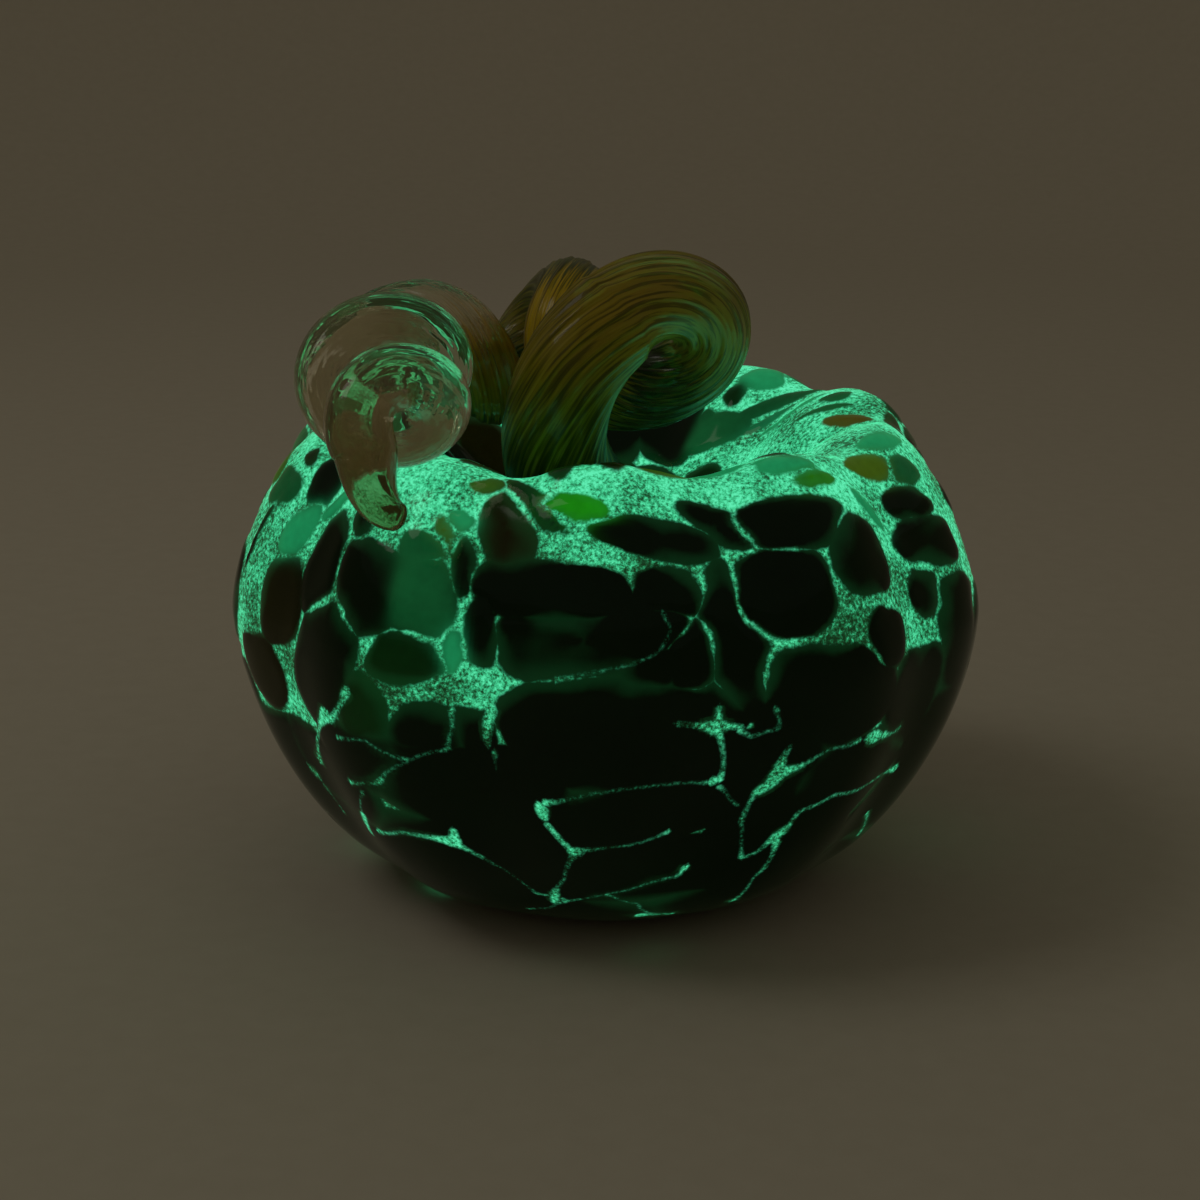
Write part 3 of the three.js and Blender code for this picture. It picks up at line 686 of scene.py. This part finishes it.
# Each point lies inside a chip by the greatest of the groups' distances.
one = start.painted("chips_one")
two = start.painted("chips_two")
groups = [three.axis(k) for three in (one, two) for k in range(3)]
inside_chip = groups[0]
for group in groups[1:]:
    inside_chip = inside_chip.or_more(group)

# Glowing lines cut through the chips. Thin ones break up into grains.
across = start.painted("line_across")
half = start.painted("line_half")
ragged = place.noise(700.0, 3.0)
grain = place.noise(1700.0, 3.0, roughness=0.75)
line_shows, line_edge = None, None
for k in range(LINE_GROUPS):
    off = across.axis(k)
    wide = half.axis(k)
    inside_line = (wide - off.maths("ABSOLUTE", off, 0.0)) * 0.9
    strong = 0.14 + wide.eased(0.06, 0.6) * 0.86 + (grain - 0.5) * 1.2
    strong = strong.or_more(0.0).or_less(1.0)
    shows = (inside_line - (ragged - 0.5) * 0.3).eased(-0.29, 0.39) * strong
    edge = (1 - strong) * 2.5 - inside_line
    line_shows = line_shows.or_more(shows) if k else shows
    line_edge = line_edge.or_less(edge) if k else edge

# Chips have ragged, swerving edges, and the glow seeps into them from the cracks.
swerve = place.noise(230.0, 2.0)
inside_chip = inside_chip + (ragged - 0.5) * 0.7 + (swerve - 0.5) * 1.1
cover = inside_chip.eased(-0.42, 0.26).or_less(1 - line_shows)
inside_chip = inside_chip.or_less(line_edge)
murk = place.noise(75.0, 1.0)
seep = 0.4 + murk.eased(0.38, 0.78) * 4.4
bleed = (1 - (inside_chip / seep).eased(0.0, 1.0)) * cover
tone = start.painted("tone")
cloudy = 0.45 + murk * 0.7 + ragged * 0.4
tone = start.node("ShaderNodeVectorMath", {"operation": "SCALE"}, {0: tone, "Scale": cloudy})
chip_light = (bleed * 0.12).mixed(tone, SEEPING_GLOW)

# The powder is a grain of bright and dull specks, denser in drifts.
density = start.painted("powder", out=2)
drift = place.noise(130.0, 2.0)
level = grain + density * 0.17 - 0.115 + (drift - 0.5) * 0.5
powder_light = level.ramp([
    (0.30, (0.001, 0.020, 0.004)), (0.42, (0.008, 0.120, 0.040)), (0.50, (0.022, 0.330, 0.140)),
    (0.58, (0.048, 0.580, 0.260)), (0.70, (0.108, 0.830, 0.440)),
])
worn = place.noise(60.0, 4.0)
close_finish(start, {
    "Base Color": cover.mixed(POWDER_UNLIT, CHIP_UNLIT),
    "Roughness": 0.05 + worn * 0.07 + (1 - cover) * 0.05,
    "IOR": GLASS_IOR,
    "Specular IOR Level": 0.2,
    "Emission Color": cover.mixed(powder_light, chip_light),
    "Emission Strength": 1.0,
    "Normal": start.node("ShaderNodeBump", None, {"Strength": 0.12, "Distance": 0.0004, "Height": worn}),
})
skin.data.materials.append(skin_finish)
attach(skin, "root")
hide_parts("glow_layer", *[f"dark_chip_{i:02d}" for i in range(1, 49)])


# The stem's cane: a solid rod of clear glass, gathered hot over the blowing hole, combed into
# fine flutes, twisted, and wound round a rod into a corkscrew that thins towards its tip.
PIECE_GAP = 0.3
COIL_AXIS = np.array([
    [12, -43, 12.3], [8.7, -8.2, 9.2], [-4.7, 10.9, 8.1], [-27.8, 1.9, 7.3],
    [-31.0, -25.4, 10.6], [-27.8, -44.5, 7.8], [-20.5, -54, 8.0],
]) + [0, 0, CREST_HEIGHT]
ROOT_BENDS = np.array([
    [-4.5, -7.5, -11.2], [-7.5, -13.5, -1.2], [-5.3, -16.8, 9.3],
]) + [0, 0, CREST_HEIGHT]
COIL_START_ANGLE = 305.0
COIL_TURNS = 4.6
LOOP_RADIUS_START = 11.1
LOOP_RADIUS_END = 6.3
LOOP_TAPER = 0.58
LOOP_SETTLE = 0.42
SETTLE_FADE = 7
TIP_FROM = 0.965
TIP_REACH = 4.4
CANE_RADIUS_START = 7.4
CANE_RADIUS_END = 4.4
CANE_TAPER = 0.34
POINT_FROM = 0.955
POINT_RADIUS = 2.0
POINT_ROUNDING = 0.6
ROOT_FLARE_RADIUS = 12.5
ROOT_FLARE_FALL = 4
ROOT_LEVEL_SHARE = 0.45
ROOT_JOIN_SHARE = 0.02
PLUG_GAP = 0.4
PLUG_DEPTH = 3.5
ROOT_ROWS = 60
COIL_ROWS = 520
TIP_ROWS = 8
CANE_COLUMNS = 144
TWIST_TURNS = 2.2
CANE_FIT = 0.997
FLUTES = ((13, 0.012, 0.4), (22, 0.010, 2.0), (35, 0.009, 1.1))
FLUTES_FADE = 0.75
FLUTES_FADE_FROM = 0.55
FLUTES_FADE_OVER = 0.3
STREAK_ROUND = 3.0
STREAK_LONG = 9.0
COMBED_BY = 0.06
SMOKY_LINE = (0.25, 0.27, 0.05, 1)
BLACK_LINE = (0.012, 0.018, 0.002, 1)
GOLD_LINE = (0.62, 0.50, 0.05, 1)

# Lower than the other glass, so that what lies behind the clear loops shows through them.
CANE_IOR = 1.22


def through(points, t):
    """Smooth curve through points, at t counted in points: each stretch is a cubic whose slope at
    a point is half the step between that point's neighbours."""
    padded = np.vstack([2 * points[0] - points[1], points, 2 * points[-1] - points[-2]])
    t = np.asarray(t, float)
    i = np.clip(np.floor(t).astype(int), 0, len(points) - 2)
    w = (t - i)[:, None]
    before, here, there, after = (padded[i + k] for k in range(4))
    out, back = (there - before) / 2, (after - here) / 2
    return (here * (2 * w ** 3 - 3 * w ** 2 + 1) + out * (w ** 3 - 2 * w ** 2 + w)
            + there * (3 * w ** 2 - 2 * w ** 3) + back * (w ** 3 - w ** 2))


def unit(v):
    """Vectors brought to length one."""
    return v / np.linalg.norm(v, axis=-1, keepdims=True)


def coil_point(share):
    """The corkscrew's centre line: a circle about a curved axis, one turn for each axis point.
    It narrows along its length, sits a little higher at the bottom, and opens out at the tip."""
    share = np.atleast_1d(np.asarray(share, float))
    degrees = COIL_START_ANGLE + 360 * COIL_TURNS * share
    at = degrees / 360
    step = 0.001 * (len(COIL_AXIS) - 1)
    heading = unit(through(COIL_AXIS, at + step) - through(COIL_AXIS, at - step))
    side = unit(np.cross(heading, [0, 0, 1]))
    upward = np.cross(side, heading)
    opening = smooth((share - TIP_FROM) / (1 - TIP_FROM))
    narrowing = (LOOP_RADIUS_END - LOOP_RADIUS_START) * share ** LOOP_TAPER
    loop = LOOP_RADIUS_START + narrowing + TIP_REACH * opening
    angle = np.radians(degrees)
    settle = LOOP_SETTLE * (1 - share ** SETTLE_FADE) * (1 - np.cos(angle)) / 2
    return through(COIL_AXIS, at) + upward * (loop * (np.cos(angle) + settle))[:, None] \
        + side * (loop * np.sin(angle))[:, None]


def cane_radius(share):
    """The cane thins quickly at first and then slowly, and draws in to a point at its end."""
    plain = CANE_RADIUS_START + (CANE_RADIUS_END - CANE_RADIUS_START) * share ** CANE_TAPER
    point = np.maximum(share - POINT_FROM, 0) / (1 - POINT_FROM)
    return plain * (1 - point ** 2 * (1 - POINT_RADIUS / CANE_RADIUS_END))


flare_stop = 2 + (CREST_RADIUS - ROOT_FLARE_RADIUS) / (CREST_RADIUS - NECK_RADIUS)
flare_height = float(side_view(flare_stop)[1]) + PIECE_GAP
root_points = np.vstack([
    [0, 0, flare_height - ROOT_FLARE_RADIUS], [0, 0, flare_height], ROOT_BENDS,
    coil_point(0.0), coil_point(ROOT_JOIN_SHARE),
])
root_share = np.arange(ROOT_ROWS) / ROOT_ROWS
coil_share = np.linspace(0, 1, COIL_ROWS + 1)
line = np.vstack([
    through(root_points, 1 + (len(ROOT_BENDS) + 1) * root_share), coil_point(coil_share),
])
flare = CANE_RADIUS_START + (ROOT_FLARE_RADIUS - CANE_RADIUS_START) * (1 - root_share) ** ROOT_FLARE_FALL
thick = np.concatenate([flare, cane_radius(coil_share)])

# Frames that follow the line without turning about it, level at the flare.
tangent = unit(np.gradient(line, axis=0))
follow = smooth(np.arange(len(line)) / ROOT_ROWS / ROOT_LEVEL_SHARE)[:, None]
heading = unit((1 - follow) * np.array([0, 0, 1.0]) + follow * tangent)
first_side = np.zeros_like(line)
carried = np.array([0, -1.0, 0])
for i, ahead in enumerate(heading):
    carried = carried - ahead * (carried @ ahead)
    carried = carried / np.linalg.norm(carried)
    first_side[i] = carried
second_side = np.cross(heading, first_side)
walked = np.concatenate([[0], np.cumsum(np.linalg.norm(np.diff(line, axis=0), axis=1))])
round_angle = np.linspace(0, 2 * math.pi, CANE_COLUMNS, endpoint=False)[None, :]
twist = TWIST_TURNS * 2 * math.pi * (walked / walked[-1])[:, None]


def tube(radius, rows=slice(None)):
    """Rings about the line's rows, each point at the radius given for its row and angle."""
    spread = np.broadcast_to(radius, (len(line[rows]), CANE_COLUMNS))[..., None]
    return line[rows][:, None] + spread * (
        first_side[rows][:, None] * np.cos(round_angle)[..., None]
        + second_side[rows][:, None] * np.sin(round_angle)[..., None])


# Fine flutes wind with the twist. Each has a count round the cane, a depth as a share of the
# radius and an angle to begin at. They fade in at the root and almost out where the cane is clear.
swung = round_angle - twist
fade_in = smooth(np.arange(len(line)) / ROOT_ROWS)[:, None]
clearing = smooth((walked / walked[-1] - FLUTES_FADE_FROM) / FLUTES_FADE_OVER)[:, None]
fade_out = 1 - FLUTES_FADE * clearing
flutes = fade_in * fade_out * sum(
    deep * np.cos(count * swung + begin) for count, deep, begin in FLUTES)
cane_rows = tube(CANE_FIT * thick[:, None] * (1 + flutes))
tip_angle = np.linspace(0.15, 1.35, TIP_ROWS)
tip_rows = np.stack([
    line[-1] + heading[-1] * thick[-1] * POINT_ROUNDING * math.sin(a)
    + (cane_rows[-1] - line[-1]) * math.cos(a) for a in tip_angle])
plug_foot = flare_height - PLUG_DEPTH
plug_rows = flat_rings([NECK_RADIUS - PLUG_GAP] * 2, [plug_foot, flare_height], CANE_COLUMNS)
cane = lay_rows("stem_twisted_cane", np.concatenate([plug_rows, cane_rows, tip_rows]),
                bottom=(0, 0, plug_foot),
                top=line[-1] + heading[-1] * thick[-1] * POINT_ROUNDING)

# Each point of the cane knows its place along the cane, and where it lies round the twist.
share_along = walked / walked[-1]
streak_grid = np.stack([
    np.cos(swung) * STREAK_ROUND, np.sin(swung) * STREAK_ROUND,
    np.broadcast_to(share_along[:, None] * STREAK_LONG, swung.shape)], axis=-1)
on_plug = np.repeat(streak_grid[:1], len(plug_rows), axis=0)
on_tip = np.repeat(streak_grid[-1:], TIP_ROWS, axis=0)
streak = np.concatenate([on_plug, streak_grid, on_tip])
reach = np.concatenate([np.zeros(len(plug_rows)), share_along, np.ones(TIP_ROWS)])
paint(cane, "streak", "FLOAT_VECTOR", "vector", streak.reshape(-1, 3), 0.0)
paint(cane, "reach", "FLOAT", "value", np.repeat(reach, CANE_COLUMNS), 0.0)

# Clear glass and coloured streaks are mixed by how dense the streaks are. All three ramps run from
# the root (0) to the tip (1), with ends combed out along the twist.
cane_finish, start = new_finish("twisted_cane_glass")
along_cane = start.painted("reach", out=2)
round_cane = start.painted("streak")
lines = round_cane.noise(4.0, 4.0)
comb = round_cane.noise(7.0, 1.0)
combed = along_cane + (comb - 0.5) * COMBED_BY
tint = combed.ramp([
    (0.00, (0.06, 0.10, 0.02)), (0.08, (0.16, 0.18, 0.03)), (0.13, (0.52, 0.46, 0.07)),
    (0.19, (0.72, 0.78, 0.36)), (0.25, (0.72, 0.80, 0.42)), (0.27, (0.25, 0.38, 0.12)),
    (0.31, (0.25, 0.38, 0.12)), (0.33, (0.85, 0.68, 0.10)), (0.375, (0.85, 0.68, 0.08)),
    (0.385, (0.28, 0.34, 0.05)), (0.435, (0.30, 0.36, 0.06)), (0.45, (0.65, 0.60, 0.20)),
    (0.48, (0.20, 0.40, 0.15)), (0.515, (0.20, 0.40, 0.15)), (0.525, (0.75, 0.56, 0.18)),
    (0.55, (0.85, 0.72, 0.40)), (0.57, (0.92, 0.90, 0.72)), (0.90, (0.95, 0.90, 0.76)),
    (1.00, (0.75, 0.66, 0.34)),
])
streak_colour = combed.ramp([
    (0.00, (0.01, 0.012, 0.002)), (0.07, (0.04, 0.035, 0.003)), (0.11, (0.19, 0.15, 0.004)),
    (0.15, (0.44, 0.33, 0.010)), (0.19, (0.58, 0.41, 0.040)), (0.25, (0.58, 0.41, 0.060)),
    (0.27, (0.05, 0.09, 0.020)), (0.31, (0.05, 0.09, 0.020)), (0.33, (0.84, 0.57, 0.005)),
    (0.375, (0.84, 0.57, 0.005)), (0.385, (0.11, 0.14, 0.008)), (0.435, (0.13, 0.15, 0.010)),
    (0.45, (0.42, 0.32, 0.020)), (0.48, (0.05, 0.12, 0.040)), (0.515, (0.05, 0.12, 0.040)),
    (0.525, (0.64, 0.36, 0.010)), (0.55, (0.60, 0.36, 0.020)), (0.57, (0.66, 0.54, 0.320)),
    (0.90, (0.66, 0.54, 0.320)), (1.00, (0.22, 0.20, 0.030)),
])
dense = combed.ramp([(where, (much, much, much)) for where, much in (
    (0.00, 0.97), (0.08, 0.97), (0.12, 0.94), (0.16, 0.84), (0.20, 0.66), (0.25, 0.60), (0.27, 0.80),
    (0.31, 0.75), (0.33, 0.80), (0.375, 0.80), (0.385, 0.88), (0.435, 0.78), (0.45, 0.50), (0.48, 0.78),
    (0.515, 0.74), (0.525, 0.74), (0.55, 0.62), (0.57, 0.10), (0.90, 0.08), (1.00, 0.45),
)])
fluted = 1 - along_cane.eased(0.42, 0.72)
dark_line = lines.eased(0.48, 0.60) * fluted
bright_line = 1 - lines.eased(0.36, 0.47)
ribs = {"Strength": 0.25, "Distance": 0.0003, "Height": lines * fluted}
ribbed = start.node("ShaderNodeBump", None, ribs)
clear_part = start.node("ShaderNodeBsdfPrincipled", None, {
    "Base Color": (dark_line * 0.5).mixed(tint, SMOKY_LINE),
    "Roughness": 0.01 + lines * fluted * 0.04,
    "IOR": CANE_IOR,
    "Transmission Weight": 1.0,
    "Coat Weight": 0.6,
    "Normal": ribbed,
})
streak_colour = (dark_line * 0.65).mixed(streak_colour, BLACK_LINE)
coloured_part = start.node("ShaderNodeBsdfPrincipled", None, {
    "Base Color": (bright_line * fluted * dense * 0.35).mixed(streak_colour, GOLD_LINE),
    "Roughness": 0.25 + lines * 0.2,
    "Specular IOR Level": 0.15,
    "Coat Weight": along_cane.eased(0.06, 0.22) * 0.3,
    "Normal": ribbed,
})
streaked = dense * (0.9 + dark_line * 0.1)
cane_surface = start.node("ShaderNodeMixShader", None, {0: streaked, 1: clear_part, 2: coloured_part})
start.node("ShaderNodeOutputMaterial", None, {"Surface": cane_surface})
cane.data.materials.append(cane_finish)
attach(cane, "root")
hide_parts("stem_cane")


# The stem's core: the olive and amber glass that the cane was pulled from, drawn out into long
# threads inside the clear rod. It fades out where the corkscrew turns clear.
CORE_SHARE = 0.4
CORE_UNTIL = 0.5
CORE_END_ROWS = 40.0
CORE_END_LEAST = 0.02
CORE_POINT = 0.3
CORE_FLUTES = ((5, 0.05, 0.7), (9, 0.04, 0.0))
CORE_IOR = 1.02

core_count = int(round((len(line) - 1) * CORE_UNTIL))
core_rows = slice(0, core_count)
core_thick = np.minimum(thick[core_rows], CANE_RADIUS_START) * CORE_SHARE
to_end = (core_count - np.arange(core_count)) / CORE_END_ROWS
core_thick = core_thick * np.sqrt(np.clip(to_end, CORE_END_LEAST, 1))
core_flutes = 1
for count, deep, begin in CORE_FLUTES:
    core_flutes = core_flutes + deep * np.cos(count * swung[core_rows] + begin)
core = lay_rows("stem_amber_core", tube(core_thick[:, None] * core_flutes, core_rows),
                bottom=line[0], top=line[core_count - 1] + heading[core_count - 1] * CORE_POINT)
paint(core, "streak", "FLOAT_VECTOR", "vector", streak_grid[core_rows].reshape(-1, 3), 0.0)

core_finish, start = new_finish("amber_and_olive_threads")
round_core = start.painted("streak")
threads = round_core.noise(3.0, 3.0)
thread_colour = threads.ramp([
    (0.36, (0.45, 0.45, 0.12)), (0.50, (0.85, 0.70, 0.25)), (0.62, (0.97, 0.86, 0.45)),
])
close_finish(start, {
    "Base Color": thread_colour,
    "Roughness": 0.02 + threads * 0.02,
    "IOR": CORE_IOR,
    "Transmission Weight": 1.0,
})
core.data.materials.append(core_finish)
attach(core, "root")
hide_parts("stem_core")


# The floor: a plain pale round sweep, level in the middle and curved up all round.
SWEEP_LEVEL = 700.0
SWEEP_CURVE = 450.0
LEVEL_ROWS = 12
CURVE_ROWS = 24
SWEEP_COLUMNS = 96
SWEEP_MIDDLE = 20
PALE = (0.66, 0.61, 0.50, 1)
PALER = (0.72, 0.67, 0.56, 1)

curve = np.linspace(0, math.pi / 2, CURVE_ROWS)[1:]
level_r = np.linspace(SWEEP_MIDDLE, SWEEP_LEVEL, LEVEL_ROWS)
sweep_r = np.concatenate([level_r, SWEEP_LEVEL + SWEEP_CURVE * np.sin(curve)])
sweep_z = np.concatenate([np.zeros(LEVEL_ROWS), SWEEP_CURVE * (1 - np.cos(curve))])
floor = lay_rows("pale_floor", flat_rings(sweep_r, sweep_z, SWEEP_COLUMNS)[::-1], top=(0, 0, 0))
floor_finish, start = new_finish("pale_matt_floor")
place = start.node("ShaderNodeTexCoord", out=3)
speck = place.noise(220.0, 3.0)
close_finish(start, {
    "Base Color": speck.mixed(PALE, PALER),
    "Roughness": 0.85,
})
floor.data.materials.append(floor_finish)


# Soft studio light: an even dim surround and one square panel above on the left.
SURROUND_COLOUR = (0.88, 0.78, 0.60, 1)
SURROUND_STRENGTH = 0.096
PANEL_SIZE = 0.3
PANEL_POWER = 0.35
PANEL_PLACE = (-0.5, -0.1, 0.7)
PANEL_AIM = (0, 0, 0.05)
PANEL_COLOUR = (1.0, 0.95, 0.82)

world = bpy.data.worlds.new("dim_surround")
world.use_nodes = True
surround = world.node_tree.nodes["Background"]
surround.inputs["Color"].default_value = SURROUND_COLOUR
surround.inputs["Strength"].default_value = SURROUND_STRENGTH
bpy.context.scene.world = world
panel_data = bpy.data.lights.new("soft_panel", "AREA")
panel_data.shape = "RECTANGLE"
panel_data.size = PANEL_SIZE
panel_data.size_y = PANEL_SIZE
panel_data.energy = PANEL_POWER
panel_data.color = PANEL_COLOUR
panel = bpy.data.objects.new("soft_panel", panel_data)
panel.location = PANEL_PLACE
panel.rotation_euler = (Vector(PANEL_AIM) - panel.location).to_track_quat("-Z", "Y").to_euler()
bpy.context.scene.collection.objects.link(panel)
bpy.context.scene.view_settings.view_transform = "Standard"


# Camera: 350 mm away and 17 degrees up, aimed a little above and left of the body's middle.
VIEW_ELEVATION = math.radians(17.25)
VIEW_DISTANCE = 0.350
VIEW_HEIGHT = 0.035
AIM_ABOVE = 0.0061
AIM_ASIDE = -0.0009
LENS = 67.5
SENSOR_WIDTH = 36.0
NEAREST_SEEN = 0.01

camera_data = bpy.data.cameras.new("camera")
camera_data.lens = LENS
camera_data.sensor_width = SENSOR_WIDTH
camera_data.clip_start = NEAREST_SEEN
camera = bpy.data.objects.new("camera", camera_data)
view_level = math.cos(VIEW_ELEVATION)
view_rise = math.sin(VIEW_ELEVATION)
camera.location = (0, -VIEW_DISTANCE * view_level, VIEW_HEIGHT + VIEW_DISTANCE * view_rise)
aim = Vector((AIM_ASIDE, AIM_ABOVE * view_rise, VIEW_HEIGHT + AIM_ABOVE * view_level))
camera.rotation_euler = (aim - camera.location).to_track_quat("-Z", "Y").to_euler()
bpy.context.scene.collection.objects.link(camera)
bpy.context.scene.camera = camera
